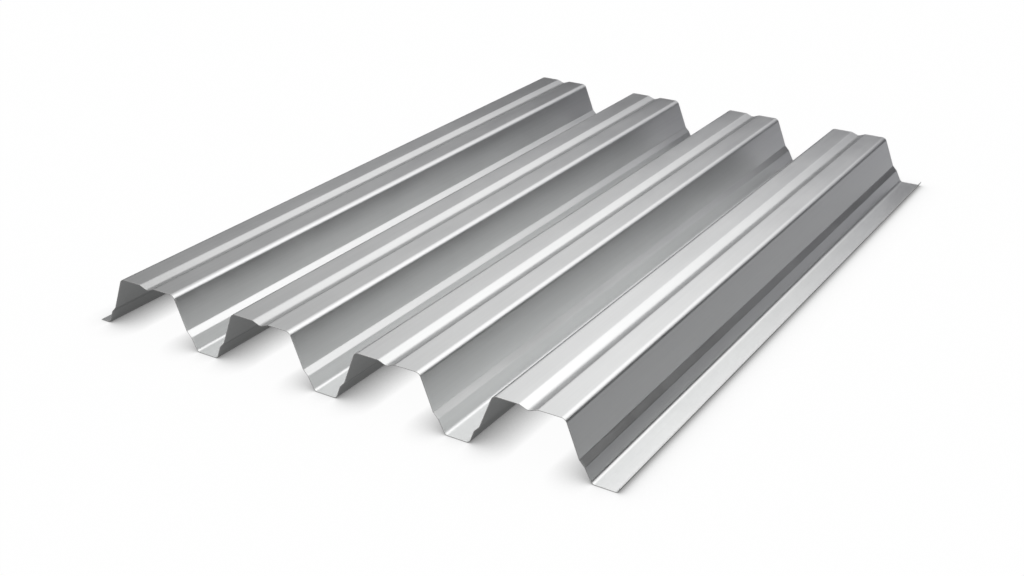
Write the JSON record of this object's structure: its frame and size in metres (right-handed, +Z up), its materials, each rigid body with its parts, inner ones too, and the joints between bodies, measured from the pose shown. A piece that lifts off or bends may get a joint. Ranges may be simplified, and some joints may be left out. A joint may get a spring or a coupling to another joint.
{
  "type": "corrugated metal sheet",
  "caption": "Trapezoidal ribbed metal deck sheet with a shallow groove along each crest, a stiffening step in each web and a lipped lap edge.",
  "frame": {"origin": "middle of the sheet's length and overall width, on the plane that the valleys rest on", "axes": "+Y along the ribs, +Z up from the valleys to the crests, +X across the ribs towards the edge with the upturned lip"},
  "size_m": [0.8186, 1.122, 0.075],
  "materials": {
    "galvanised_steel": "smooth zinc-coated steel, semi-bright, with a faint rolling grain along the ribs"
  },
  "bodies": {
    "root": {"corrugated_sheet": "galvanised_steel"}
  },
  "joints": []
}
